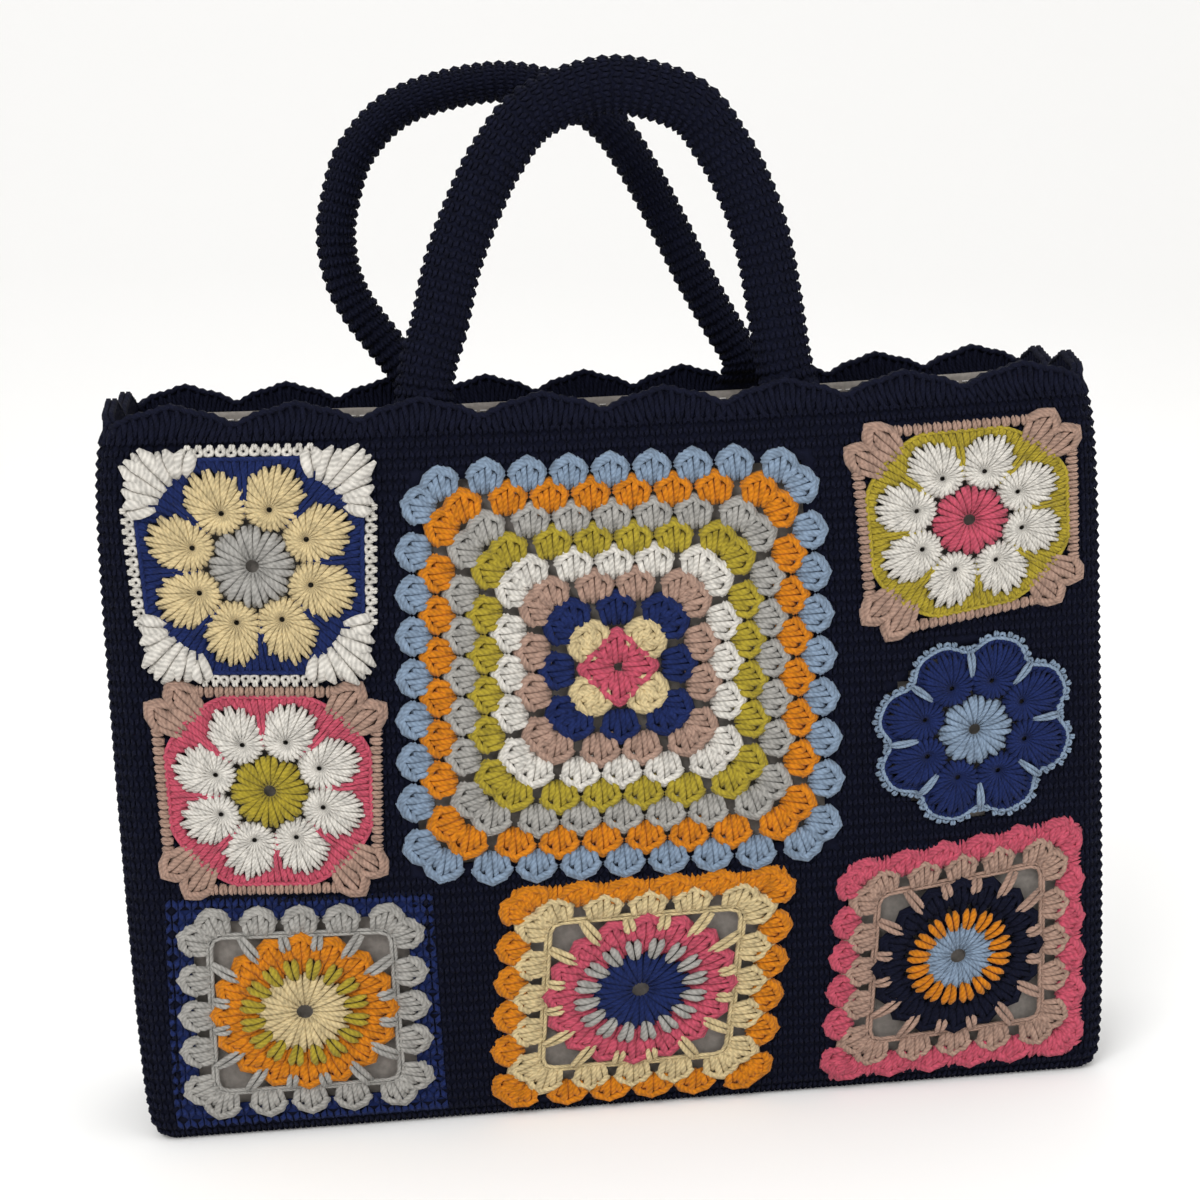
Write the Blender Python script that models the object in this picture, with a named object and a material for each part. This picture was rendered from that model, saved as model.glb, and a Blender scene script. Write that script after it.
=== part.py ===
"""Crochet handbag: navy crochet walls round eight motif squares, a scalloped rim, a cotton lining
and two padded tube handles. Metres, +Z up, the front faces -Y, the origin is under the middle of the base."""

import math

import bmesh
import bpy
from mathutils import Vector
from mathutils.geometry import delaunay_2d_cdt

# Driving sizes of the bag
BAG_WIDTH = 0.450
BAG_DEPTH = 0.105
BAG_HEIGHT = 0.338
CORNER_RADIUS = 0.011
FOOT_RADIUS = 0.008
CROCHET_WALL = 0.0030
LINING_WALL = 0.0012
SQUARE_RISE = 0.0006

# Fits between neighbours
CLEARANCE = 0.0003
LINING_CLEARANCE = 0.0006

# How far the soft walls swell past the flat box, and how far the rim dips between its corners
WIDTH_SWELL = 0.0065
FRONT_BELLY = 0.008
SIDE_BELLY = 0.004
RIM_DIP = 0.0035

# Scalloped rim
RIM_BAND = 0.005
SCALLOP_RISE = 0.0075
FRONT_SCALLOPS = 8
BACK_SCALLOPS = 9
SIDE_SCALLOPS = 2
SCALLOP_STEPS = 6
SCALLOP_FULLNESS = 0.7

# Lining hem, and the two handles with their flattened ends between wall and lining
HEM_DROP = 0.005
HANDLE_SPREAD = 0.084
HANDLE_RISE = 0.150
HANDLE_WIDTH = 0.026
HANDLE_THICKNESS = 0.0185
HANDLE_BLEND = 0.018
HANDLE_LEAN = 0.006
TAB_WIDTH = 0.028
TAB_THICKNESS = 0.004
TAB_DEPTH = 0.018
TAB_FADE = 0.014

# Squares: rounding of their corners, and the open diamonds between the clusters of the big one
SQUARE_CORNER = 0.006
GRANNY_CORNER = 0.022
NET_GAP = 0.0034
NET_ROUNDS = 9
OPEN_ROUNDS = (3, 4, 5, 6)
NET_SPREAD = 0.97
NET_CORNER = 0.93

# Facets and finish
COLUMNS = 8
SIDE_COLUMNS = 3
CORNER_STEPS = 2
FOOT_STEPS = 3
OUTLINE_STEPS = 3
HANDLE_SIDES = 12
HANDLE_STATIONS = 38
SHARP_ANGLE = math.radians(40)
YARN_ROUGHNESS = 0.9

FOOT_ARC = FOOT_RADIUS * math.pi / 2
CORNER_ARC = CORNER_RADIUS * math.pi / 4
PANEL_TOP = BAG_HEIGHT - RIM_BAND
HEM_TOP = BAG_HEIGHT - HEM_DROP
HANDLE_SEAT = CROCHET_WALL + CLEARANCE

# rise: share of the bag's height, then how much of the width's swell and of the bellies shows there
SWELL_PROFILE = (
    (0.00, 0.50, 0.00),
    (0.05, 0.85, 0.22),
    (0.13, 0.97, 0.50),
    (0.25, 1.00, 0.78),
    (0.38, 1.00, 0.96),
    (0.52, 1.00, 1.00),
    (0.65, 1.00, 0.90),
    (0.78, 1.00, 0.70),
    (0.88, 0.93, 0.45),
    (0.94, 0.75, 0.29),
    (0.975, 0.45, 0.18),
    (1.00, 0.00, 0.10),
)

# wall: half its run, its reach from the middle, run direction, outward direction
WALLS = {
    "front": (BAG_WIDTH / 2, BAG_DEPTH / 2, Vector((1, 0, 0)), Vector((0, -1, 0))),
    "right": (BAG_DEPTH / 2, BAG_WIDTH / 2, Vector((0, 1, 0)), Vector((1, 0, 0))),
    "back": (BAG_WIDTH / 2, BAG_DEPTH / 2, Vector((1, 0, 0)), Vector((0, 1, 0))),
    "left": (BAG_DEPTH / 2, BAG_WIDTH / 2, Vector((0, 1, 0)), Vector((-1, 0, 0))),
}

# side: share of the handle spread, rise: share of the handle rise above the bag
HANDLE_PATHS = {}
HANDLE_PATHS["front"] = (
    (-0.97, 0.04),
    (-0.93, 0.16),
    (-0.86, 0.27),
    (-0.77, 0.45),
    (-0.64, 0.62),
    (-0.49, 0.77),
    (-0.27, 0.90),
    (0.14, 0.965),
    (0.54, 0.90),
    (0.73, 0.765),
    (0.85, 0.625),
    (0.93, 0.47),
    (0.975, 0.30),
    (1.01, 0.13),
    (1.04, 0.04),
)
HANDLE_PATHS["back"] = (
    (-0.99, 0.04),
    (-1.09, 0.14),
    (-1.29, 0.30),
    (-1.38, 0.41),
    (-1.41, 0.53),
    (-1.38, 0.65),
    (-1.26, 0.82),
    (-0.97, 0.96),
    (-0.46, 1.02),
    (-0.07, 0.975),
    (0.19, 0.87),
    (0.37, 0.71),
    (0.52, 0.54),
    (0.66, 0.37),
    (0.81, 0.21),
    (0.91, 0.11),
    (0.925, 0.04),
)

# across, up: shares of half a square, the open corner between its round motif and the square round
OPEN_CORNER = (
    (0.60, 0.62),
    (0.42, 0.60),
    (0.46, 0.48),
    (0.58, 0.44),
)

# name, kind, yarn, then the corners: across is a share of half the width, up a share of the panel
SQUARES = (
    ("flower_left_top", "flower", "royal",
     (-0.953, 0.984), (-0.456, 0.980), (-0.481, 0.655), (-0.926, 0.670)),
    ("flower_left_middle", "flower", "pink",
     (-0.921, 0.663), (-0.472, 0.647), (-0.493, 0.364), (-0.915, 0.375)),
    ("sunburst_left", "sunburst", "grey",
     (-0.920, 0.362), (-0.397, 0.351), (-0.394, 0.033), (-0.940, 0.032)),
    ("granny_centre", "granny", "orange",
     (-0.398, 0.942), (0.411, 0.942), (0.436, 0.368), (-0.440, 0.373)),
    ("sunburst_middle", "sunburst", "cream",
     (-0.242, 0.346), (0.335, 0.351), (0.268, 0.036), (-0.285, 0.033)),
    ("flower_right_top", "flower", "white",
     (0.488, 0.963), (0.948, 0.967), (0.944, 0.715), (0.511, 0.673)),
    ("flower_right_middle", "flower", "sky",
     (0.511, 0.661), (0.943, 0.684), (0.939, 0.400), (0.497, 0.393)),
    ("sunburst_right", "sunburst", "tan",
     (0.446, 0.347), (0.938, 0.390), (0.939, 0.050), (0.402, 0.035)),
)

YARNS = {
    "navy": (0.006, 0.007, 0.018),
    "royal": (0.016, 0.030, 0.130),
    "sky": (0.230, 0.310, 0.430),
    "white": (0.700, 0.690, 0.640),
    "cream": (0.720, 0.560, 0.300),
    "grey": (0.360, 0.350, 0.330),
    "tan": (0.420, 0.270, 0.205),
    "pink": (0.620, 0.095, 0.150),
    "orange": (0.700, 0.210, 0.012),
    "lining": (0.230, 0.212, 0.200),
}


def clear_scene():
    """Remove whatever the open file holds."""
    for item in list(bpy.data.objects):
        bpy.data.objects.remove(item, do_unlink=True)


def profile_value(rise, column):
    """Smooth value of a column of the swell profile at a rise, by cubic steps through its rows."""
    rows = [(row[0], row[column]) for row in SWELL_PROFILE]
    share = min(max(rise, 0.0), 1.0)
    step = 0
    while step < len(rows) - 2 and share > rows[step + 1][0]:
        step += 1
    (low, low_value), (high, high_value) = rows[step], rows[step + 1]
    before = rows[max(step - 1, 0)]
    after = rows[min(step + 2, len(rows) - 1)]
    span = high - low
    low_slope = (high_value - before[1]) / (high - before[0]) * span
    high_slope = (after[1] - low_value) / (after[0] - low) * span
    t = (share - low) / span
    return (
        (2 * t**3 - 3 * t**2 + 1) * low_value
        + (t**3 - 2 * t**2 + t) * low_slope
        + (3 * t**2 - 2 * t**3) * high_value
        + (t**3 - t**2) * high_slope
    )


def swell(point):
    """Push a point of the flat box out to the soft, filled form of the bag."""
    rise = min(max(point.z / BAG_HEIGHT, 0.0), 1.0)
    across = point.x / (BAG_WIDTH / 2)
    deep = point.y / (BAG_DEPTH / 2)
    belly = profile_value(rise, 2)
    middle_of_side = 1 - min(deep**2, 1.0)
    middle_of_front = 1 - min(across**4, 1.0)
    return Vector((
        point.x + across * (WIDTH_SWELL * profile_value(rise, 1) + SIDE_BELLY * belly * middle_of_side),
        point.y + deep * FRONT_BELLY * belly * middle_of_front,
        point.z - RIM_DIP * rise**3 * (1 - min(across**2, 1.0)),
    ))


def wall_point(wall, along, up, inset):
    """Point of a wall: along its run, up from the foot's seam, inset behind its outer face."""
    half_run, reach, run, outward = WALLS[wall]
    if up < FOOT_ARC:
        turn = up / FOOT_RADIUS
        shift = (FOOT_RADIUS - inset) * math.sin(turn) - FOOT_RADIUS
        height = FOOT_RADIUS - (FOOT_RADIUS - inset) * math.cos(turn)
    else:
        shift = -inset
        height = FOOT_RADIUS + up - FOOT_ARC
    flat = half_run - CORNER_RADIUS
    side = along
    out = reach + shift
    if abs(along) > flat:
        turn = (abs(along) - flat) / CORNER_RADIUS
        radius = CORNER_RADIUS + shift
        side = math.copysign(flat + radius * math.sin(turn), along)
        out = reach - CORNER_RADIUS + radius * math.cos(turn)
    return swell(run * side + outward * out + Vector((0, 0, height)))


def up_at(height):
    """Distance up the wall from the foot's seam to a height on its upright part."""
    return height - FOOT_RADIUS + FOOT_ARC


def wall_edge(wall):
    """Half of a wall's run, out to the middle of its rounded corners."""
    return WALLS[wall][0] - CORNER_RADIUS + CORNER_ARC


def grid_columns(wall):
    """Places along a wall where its facets bend."""
    flat = WALLS[wall][0] - CORNER_RADIUS
    count = COLUMNS if wall in ("front", "back") else SIDE_COLUMNS
    columns = [flat * (2 * step / count - 1) for step in range(count + 1)]
    for step in range(1, CORNER_STEPS):
        bend = flat + CORNER_ARC * step / CORNER_STEPS
        columns += [-bend, bend]
    return sorted(columns)


def grid_rows():
    """Distances up a wall where its facets bend."""
    foot = [FOOT_ARC * step / FOOT_STEPS for step in range(1, FOOT_STEPS + 1)]
    heights = [rise * BAG_HEIGHT for rise, _, _ in SWELL_PROFILE]
    return foot + [up_at(height) for height in heights if FOOT_RADIUS < height < PANEL_TOP]


def grown(corners, amount):
    """Move every side of an outline outwards by the same amount."""
    result = []
    for index, corner in enumerate(corners):
        into = (corner - corners[index - 1]).normalized()
        out_of = (corners[(index + 1) % len(corners)] - corner).normalized()
        first = Vector((-into.y, into.x))
        second = Vector((-out_of.y, out_of.x))
        result.append(corner + (first + second) * amount / (1 + first.dot(second)))
    return result


def rounded(corners, radius):
    """Outline with every corner turned into a short curve."""
    result = []
    for index, corner in enumerate(corners):
        start = corner + (corners[index - 1] - corner).normalized() * radius
        end = corner + (corners[(index + 1) % len(corners)] - corner).normalized() * radius
        for step in range(OUTLINE_STEPS + 1):
            t = step / OUTLINE_STEPS
            result.append(start * (1 - t)**2 + corner * 2 * t * (1 - t) + end * t**2)
    return result


def inside(outline, point):
    """Whether a point lies inside an outline."""
    hit = False
    for index, end in enumerate(outline):
        start = outline[index - 1]
        if (start.y > point.y) != (end.y > point.y):
            cross = start.x + (point.y - start.y) / (end.y - start.y) * (end.x - start.x)
            hit = hit != (point.x < cross)
    return hit


def finish_object(name, mesh_data, yarn):
    """Close the mesh, point its faces out and make the named object with its material."""
    bmesh.ops.recalc_face_normals(mesh_data, faces=mesh_data.faces)
    if mesh_data.calc_volume(signed=True) < 0:
        bmesh.ops.reverse_faces(mesh_data, faces=mesh_data.faces)
    bmesh.ops.triangulate(mesh_data, faces=mesh_data.faces)
    mesh = bpy.data.meshes.new(name)
    mesh_data.to_mesh(mesh)
    mesh_data.free()
    material = bpy.data.materials.new(name + "_" + yarn)
    material.use_nodes = True
    shader = material.node_tree.nodes["Principled BSDF"]
    shader.inputs["Base Color"].default_value = (*YARNS[yarn], 1)
    shader.inputs["Roughness"].default_value = YARN_ROUGHNESS
    shader.inputs["Metallic"].default_value = 0.0
    mesh.materials.append(material)
    mesh.shade_smooth()
    mesh.set_sharp_from_angle(angle=SHARP_ANGLE)
    bpy.context.scene.collection.objects.link(bpy.data.objects.new(name, mesh))


def wall_solid(name, wall, outline, holes, outer_inset, inner_inset, yarn):
    """Thick sheet on a wall, cut to an outline with holes, bent with the wall along the grid lines."""
    left = min(point.x for point in outline)
    right = max(point.x for point in outline)
    low = min(point.y for point in outline)
    high = max(point.y for point in outline)
    points = []
    edges = []
    for loop in [outline] + holes:
        first = len(points)
        points += loop
        edges += [(first + step, first + (step + 1) % len(loop)) for step in range(len(loop))]
    for column in grid_columns(wall):
        if left < column < right:
            edges.append((len(points), len(points) + 1))
            points += [Vector((column, low)), Vector((column, high))]
    for row in grid_rows():
        if low < row < high:
            edges.append((len(points), len(points) + 1))
            points += [Vector((left, row)), Vector((right, row))]
    cut_points, _, cut_faces, _, _, _ = delaunay_2d_cdt(points, edges, [], 0, 1e-6)
    sheet = bmesh.new()
    corners = [sheet.verts.new((point.x, point.y, inner_inset)) for point in cut_points]
    for face in cut_faces:
        middle = sum((cut_points[index] for index in face), Vector((0, 0))) / len(face)
        if inside(outline, middle) and not any(inside(hole, middle) for hole in holes):
            sheet.faces.new([corners[index] for index in face])
    loose = [vertex for vertex in sheet.verts if not vertex.link_faces]
    bmesh.ops.delete(sheet, geom=loose, context="VERTS")
    for item in bmesh.ops.extrude_face_region(sheet, geom=sheet.faces[:])["geom"]:
        if isinstance(item, bmesh.types.BMVert):
            item.co.z = outer_inset
    for vertex in sheet.verts:
        vertex.co = wall_point(wall, vertex.co.x, vertex.co.y, vertex.co.z)
    finish_object(name, sheet, yarn)


def ring_solid(name, rings, yarn):
    """Closed solid through a row of rings of points, capped at both ends."""
    body = bmesh.new()
    loops = [[body.verts.new(point) for point in ring] for ring in rings]
    for first, second in zip(loops, loops[1:]):
        for step in range(len(first)):
            after = (step + 1) % len(first)
            body.faces.new((first[step], first[after], second[after], second[step]))
    body.faces.new(loops[0])
    body.faces.new(list(reversed(loops[-1])))
    finish_object(name, body, yarn)


def square_corners(row):
    """Corners of a square on the front wall, from its row of the table."""
    top = up_at(PANEL_TOP)
    return [Vector((across * BAG_WIDTH / 2, up * top)) for across, up in row[3:]]


def corner_radius(row):
    """Rounding of a square's corners."""
    return GRANNY_CORNER if row[1] == "granny" else SQUARE_CORNER


def in_square(corners, across, up):
    """Point of a square, from shares that run from -1 to 1 over its width and height."""
    right = (1 + across) / 2
    top = (1 + up) / 2
    upper = corners[0] * (1 - right) + corners[1] * right
    lower = corners[3] * (1 - right) + corners[2] * right
    return upper * top + lower * (1 - top)


def net_gaps(corners):
    """Small open diamonds between the clusters of a square worked in rounds."""
    gaps = []
    for round_number in OPEN_ROUNDS:
        reach = (round_number - 0.5) / NET_ROUNDS
        pitch = 2 * NET_SPREAD / NET_ROUNDS
        places = [(step - (round_number - 2) / 2) * pitch for step in range(round_number - 1)]
        spots = [(place, reach) for place in places] + [(reach * NET_CORNER, reach * NET_CORNER)]
        for quarter in range(4):
            for across, up in spots:
                for _ in range(quarter):
                    across, up = up, -across
                middle = in_square(corners, across, up)
                gaps.append([
                    middle + Vector((NET_GAP / 2 * math.cos(angle), NET_GAP / 2 * math.sin(angle)))
                    for angle in (0.0, math.pi / 2, math.pi, 3 * math.pi / 2)
                ])
    return gaps


def corner_gaps(corners):
    """Four open corners between the round motif and the square round about it."""
    return [
        [in_square(corners, side * across, level * up) for across, up in OPEN_CORNER]
        for side, level in ((-1, 1), (1, 1), (1, -1), (-1, -1))
    ]


def build_squares():
    """The eight motif squares, each standing a little proud in its opening."""
    openings = []
    for row in SQUARES:
        corners = square_corners(row)
        radius = corner_radius(row)
        holes = []
        if row[1] == "granny":
            holes = net_gaps(corners)
        if row[1] == "sunburst":
            holes = corner_gaps(corners)
        wall_solid(row[0], "front", rounded(corners, radius), holes, -SQUARE_RISE, CROCHET_WALL, row[2])
        openings.append(rounded(grown(corners, CLEARANCE), radius + CLEARANCE))
    return openings


def build_walls(openings):
    """Front, back and gusset panels, from the seam of the foot up to the rim."""
    top = up_at(PANEL_TOP) - CLEARANCE / 2
    names = {"front": "front_panel", "back": "back_panel", "left": "side_left", "right": "side_right"}
    for wall, name in names.items():
        edge = wall_edge(wall) - CLEARANCE / 2
        outline = [Vector((-edge, 0)), Vector((edge, 0)), Vector((edge, top)), Vector((-edge, top))]
        holes = openings if wall == "front" else []
        wall_solid(name, wall, outline, holes, 0.0, CROCHET_WALL, "navy")


def build_rims():
    """Scalloped shell edging that stands on the top edge of each wall."""
    counts = {"front": FRONT_SCALLOPS, "back": BACK_SCALLOPS, "left": SIDE_SCALLOPS, "right": SIDE_SCALLOPS}
    low = up_at(PANEL_TOP) + CLEARANCE / 2
    dip = up_at(BAG_HEIGHT)
    for wall, count in counts.items():
        edge = wall_edge(wall) - CLEARANCE / 2
        steps = round(count) * SCALLOP_STEPS
        outline = [Vector((-edge, low)), Vector((edge, low))]
        for step in range(steps, -1, -1):
            wave = 0.5 - 0.5 * math.cos(2 * math.pi * step / SCALLOP_STEPS)
            crest = SCALLOP_RISE * wave**SCALLOP_FULLNESS
            outline.append(Vector((edge * (2 * step / steps - 1), dip + crest)))
        wall_solid("rim_" + wall, wall, outline, [], 0.0, CROCHET_WALL, "navy")


def ring_stations(columns_of):
    """Wall and place along it for every column round the bag, seen from above against the clock."""
    stations = []
    for wall, direction in (("front", 1), ("right", 1), ("back", -1), ("left", -1)):
        columns = [-direction * wall_edge(wall)] + columns_of(wall)
        stations += [(wall, column) for column in sorted(columns, reverse=direction < 0)]
    return stations


def build_base():
    """Flat crochet bottom inside the turned-in feet of the walls."""
    rings = []
    for height in (0.0, CROCHET_WALL):
        ring = []
        for wall, along in ring_stations(grid_columns):
            _, _, run, outward = WALLS[wall]
            turn = max(abs(along) - WALLS[wall][0] + CORNER_RADIUS, 0.0) / CORNER_RADIUS
            inward = -outward * math.cos(turn) - run * math.copysign(math.sin(turn), along)
            seam = wall_point(wall, along, 0.0, 0.0) + inward * CLEARANCE
            ring.append(Vector((seam.x, seam.y, height)))
        rings.append(ring)
    ring_solid("base_panel", rings, "navy")


def tab_standoff(wall, along, up):
    """How much of a handle tab's thickness the lining steps back by at this place."""
    if wall not in HANDLE_PATHS:
        return 0.0
    result = 0.0
    for side, _ in (HANDLE_PATHS[wall][0], HANDLE_PATHS[wall][-1]):
        beside = abs(along - side * HANDLE_SPREAD) - TAB_WIDTH / 2 - LINING_WALL
        below = up_at(BAG_HEIGHT - TAB_DEPTH - LINING_WALL) - up
        fade = max(beside, below, 0.0) / TAB_FADE
        result = max(result, 1 - fade)
    return result


def lining_columns(wall):
    """Columns of the lining: the wall's corners, a few between, and the edges of its handle tabs."""
    bends = CORNER_STEPS
    columns = grid_columns(wall)
    columns = columns[:bends] + columns[bends + 1:-bends:2] + columns[-bends:]
    if wall in HANDLE_PATHS:
        for side, _ in (HANDLE_PATHS[wall][0], HANDLE_PATHS[wall][-1]):
            for reach in (TAB_WIDTH / 2 + LINING_WALL, TAB_WIDTH / 2 + LINING_WALL + TAB_FADE):
                columns += [side * HANDLE_SPREAD - reach, side * HANDLE_SPREAD + reach]
    return columns


def build_lining():
    """Thin cotton bag inside the crochet, one skin with its own bottom and an open top."""
    seat = up_at(BAG_HEIGHT - TAB_DEPTH - LINING_WALL)
    hem = up_at(HEM_TOP)
    below = [row for row in grid_rows()[::2] if row < seat - TAB_FADE]
    rows = [0.0] + below + [seat - TAB_FADE, seat, hem]
    stations = ring_stations(lining_columns)
    rings = []
    for skin, order in ((0.0, rows), (LINING_WALL, reversed(rows))):
        for up in order:
            ring = []
            for wall, along in stations:
                step_back = tab_standoff(wall, along, up) * (TAB_THICKNESS + CLEARANCE)
                inset = CROCHET_WALL + LINING_CLEARANCE + skin + step_back
                ring.append(wall_point(wall, along, up, inset))
            rings.append(ring)
    ring_solid("lining", rings, "lining")


def path_point(rows, share):
    """Point of a handle's smooth centre line at a share of its rows."""
    place = share * (len(rows) - 1)
    step = min(int(place), len(rows) - 2)
    t = place - step
    before = Vector(rows[max(step - 1, 0)])
    start = Vector(rows[step])
    end = Vector(rows[step + 1])
    after = Vector(rows[min(step + 2, len(rows) - 1)])
    bend = (
        start * 2
        + (end - before) * t
        + (before * 2 - start * 5 + end * 4 - after) * t**2
        + (start * 3 - before - end * 3 + after) * t**3
    )
    return bend / 2


def build_handle(name, wall, width, thickness):
    """Padded tube on its arch, each end flattened to a tab behind the rim."""
    hem = up_at(HEM_TOP + CLEARANCE)
    tip = up_at(BAG_HEIGHT - TAB_DEPTH)
    arch = []
    for station in range(HANDLE_STATIONS + 1):
        side, rise = path_point(HANDLE_PATHS[wall], station / HANDLE_STATIONS)
        arch.append(Vector((side * HANDLE_SPREAD, up_at(BAG_HEIGHT + rise * HANDLE_RISE))))
    start = [Vector((arch[0].x, tip)), Vector((arch[0].x, hem))]
    end = [Vector((arch[-1].x, hem)), Vector((arch[-1].x, tip))]
    centres = start + arch + end
    rings = []
    for index, centre in enumerate(centres):
        before = centres[max(index - 1, 0)]
        after = centres[min(index + 1, len(centres) - 1)]
        heading = (after - before).normalized()
        across = Vector((heading.y, -heading.x))
        above = max(centre.y - hem, 0.0)
        share = min(above / HANDLE_BLEND, 1.0)
        full = share * share * (3 - 2 * share)
        half_width = (TAB_WIDTH + (width - TAB_WIDTH) * full) / 2
        half_thickness = (TAB_THICKNESS + (thickness - TAB_THICKNESS) * full) / 2
        front_face = HANDLE_SEAT + HANDLE_LEAN * above / HANDLE_RISE
        ring = []
        for corner in range(HANDLE_SIDES):
            angle = 2 * math.pi * corner / HANDLE_SIDES
            spot = centre + across * half_width * math.cos(angle)
            inset = front_face + half_thickness * (1 + math.sin(angle))
            ring.append(wall_point(wall, spot.x, spot.y, inset))
        rings.append(ring)
    ring_solid(name, rings, "navy")


def build_handles():
    """The front handle shows its broad side, the back one is turned edge on."""
    build_handle("handle_front", "front", HANDLE_WIDTH, HANDLE_THICKNESS)
    build_handle("handle_back", "back", HANDLE_THICKNESS, HANDLE_WIDTH)


clear_scene()
build_walls(build_squares())
build_base()
build_rims()
build_lining()
build_handles()
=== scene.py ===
"""Looks of the crochet handbag: every yarn stitch as its own strands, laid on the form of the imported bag."""

import math
import random

import bpy
import numpy as np
from mathutils import Matrix, Vector


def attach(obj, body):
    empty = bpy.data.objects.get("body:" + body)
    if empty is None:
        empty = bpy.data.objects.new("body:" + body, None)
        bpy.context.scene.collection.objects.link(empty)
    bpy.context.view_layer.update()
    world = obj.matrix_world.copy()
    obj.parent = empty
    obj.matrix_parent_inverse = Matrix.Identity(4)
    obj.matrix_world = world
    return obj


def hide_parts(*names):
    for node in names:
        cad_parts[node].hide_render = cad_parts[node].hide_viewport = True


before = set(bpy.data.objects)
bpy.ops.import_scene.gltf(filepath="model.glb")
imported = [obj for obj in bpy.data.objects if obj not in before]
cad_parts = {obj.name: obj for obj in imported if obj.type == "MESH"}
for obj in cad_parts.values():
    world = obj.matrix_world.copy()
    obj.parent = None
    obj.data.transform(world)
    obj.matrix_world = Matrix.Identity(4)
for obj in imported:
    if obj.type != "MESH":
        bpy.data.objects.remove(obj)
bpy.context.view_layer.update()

# Granny square in the middle of the front: nine rounds of three-stitch clusters, hooked in cotton yarn,
# each round in another colour. Its clusters hang in the gaps of the round before.
# The form of the bag's walls and the way a yarn strand is drawn are set out here, where they are first used.
BAG_WIDTH = 0.450
BAG_DEPTH = 0.105
BAG_HEIGHT = 0.338
CORNER_RADIUS = 0.011
FOOT_RADIUS = 0.008
WIDTH_SWELL = 0.0065
FRONT_BELLY = 0.008
SIDE_BELLY = 0.004
RIM_DIP = 0.0035
RIM_BAND = 0.005
FOOT_ARC = FOOT_RADIUS * math.pi / 2
PANEL_UP = BAG_HEIGHT - RIM_BAND - FOOT_RADIUS + FOOT_ARC
UPRIGHT = np.array([0.03, 0.02, 1.0])

# rise: share of the bag's height, then how much of the width's swell and of the bellies shows there
SWELL_PROFILE = np.array([
    [0.00, 0.50, 0.00],
    [0.05, 0.85, 0.22],
    [0.13, 0.97, 0.50],
    [0.25, 1.00, 0.78],
    [0.38, 1.00, 0.96],
    [0.52, 1.00, 1.00],
    [0.65, 1.00, 0.90],
    [0.78, 1.00, 0.70],
    [0.88, 0.93, 0.45],
    [0.94, 0.75, 0.29],
    [0.975, 0.45, 0.18],
    [1.00, 0.00, 0.10],
])

# wall: half its run, its reach from the middle, run direction, outward direction
WALLS = {
    "front": (BAG_WIDTH / 2, BAG_DEPTH / 2, np.array([1.0, 0, 0]), np.array([0, -1.0, 0])),
    "right": (BAG_DEPTH / 2, BAG_WIDTH / 2, np.array([0, 1.0, 0]), np.array([1.0, 0, 0])),
    "back": (BAG_WIDTH / 2, BAG_DEPTH / 2, np.array([1.0, 0, 0]), np.array([0, 1.0, 0])),
    "left": (BAG_DEPTH / 2, BAG_WIDTH / 2, np.array([0, 1.0, 0]), np.array([-1.0, 0, 0])),
}


def profile_value(rise, column):
    """Smooth value of a column of the swell profile at many rises."""
    rises = SWELL_PROFILE[:, 0]
    values = SWELL_PROFILE[:, column]
    share = np.clip(rise, 0, 1)
    low = np.clip(np.searchsorted(rises, share) - 1, 0, len(rises) - 2)
    high = low + 1
    before = np.maximum(low - 1, 0)
    after = np.minimum(low + 2, len(rises) - 1)
    span = rises[high] - rises[low]
    low_slope = (values[high] - values[before]) / (rises[high] - rises[before]) * span
    high_slope = (values[after] - values[low]) / (rises[after] - rises[low]) * span
    t = (share - rises[low]) / span
    start = (2 * t**3 - 3 * t**2 + 1) * values[low] + (t**3 - 2 * t**2 + t) * low_slope
    return start + (3 * t**2 - 2 * t**3) * values[high] + (t**3 - t**2) * high_slope


def swell(points):
    """Push points of the flat box out to the soft, filled form of the bag."""
    rise = np.clip(points[:, 2] / BAG_HEIGHT, 0, 1)
    across = points[:, 0] / (BAG_WIDTH / 2)
    deep = points[:, 1] / (BAG_DEPTH / 2)
    belly = profile_value(rise, 2)
    middle_of_side = 1 - np.minimum(deep**2, 1)
    middle_of_front = 1 - np.minimum(across**4, 1)
    wider = WIDTH_SWELL * profile_value(rise, 1) + SIDE_BELLY * belly * middle_of_side
    dip = RIM_DIP * rise**3 * (1 - np.minimum(across**2, 1))
    return points + np.column_stack([across * wider, deep * FRONT_BELLY * belly * middle_of_front, -dip])


def on_wall(wall, flat):
    """Places on a wall from distances along its run, up from the foot's seam and out from its outer face."""
    half_run, reach, run, outward = WALLS[wall]
    along, up, out = flat[:, 0], flat[:, 1], flat[:, 2]
    turn = np.clip(up, 0, FOOT_ARC) / FOOT_RADIUS
    in_foot = up < FOOT_ARC
    shift = np.where(in_foot, (FOOT_RADIUS + out) * np.sin(turn) - FOOT_RADIUS, out)
    upright = FOOT_RADIUS + up - FOOT_ARC
    height = np.where(in_foot, FOOT_RADIUS - (FOOT_RADIUS + out) * np.cos(turn), upright)
    level = half_run - CORNER_RADIUS
    past = np.maximum(np.abs(along) - level, 0) / CORNER_RADIUS
    bent = np.sign(along) * (level + (CORNER_RADIUS + shift) * np.sin(past))
    side = np.where(past > 0, bent, along)
    away = np.where(past > 0, reach - CORNER_RADIUS + (CORNER_RADIUS + shift) * np.cos(past), reach + shift)
    points = side[:, None] * run + away[:, None] * outward
    points[:, 2] = height
    return swell(points)


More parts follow.
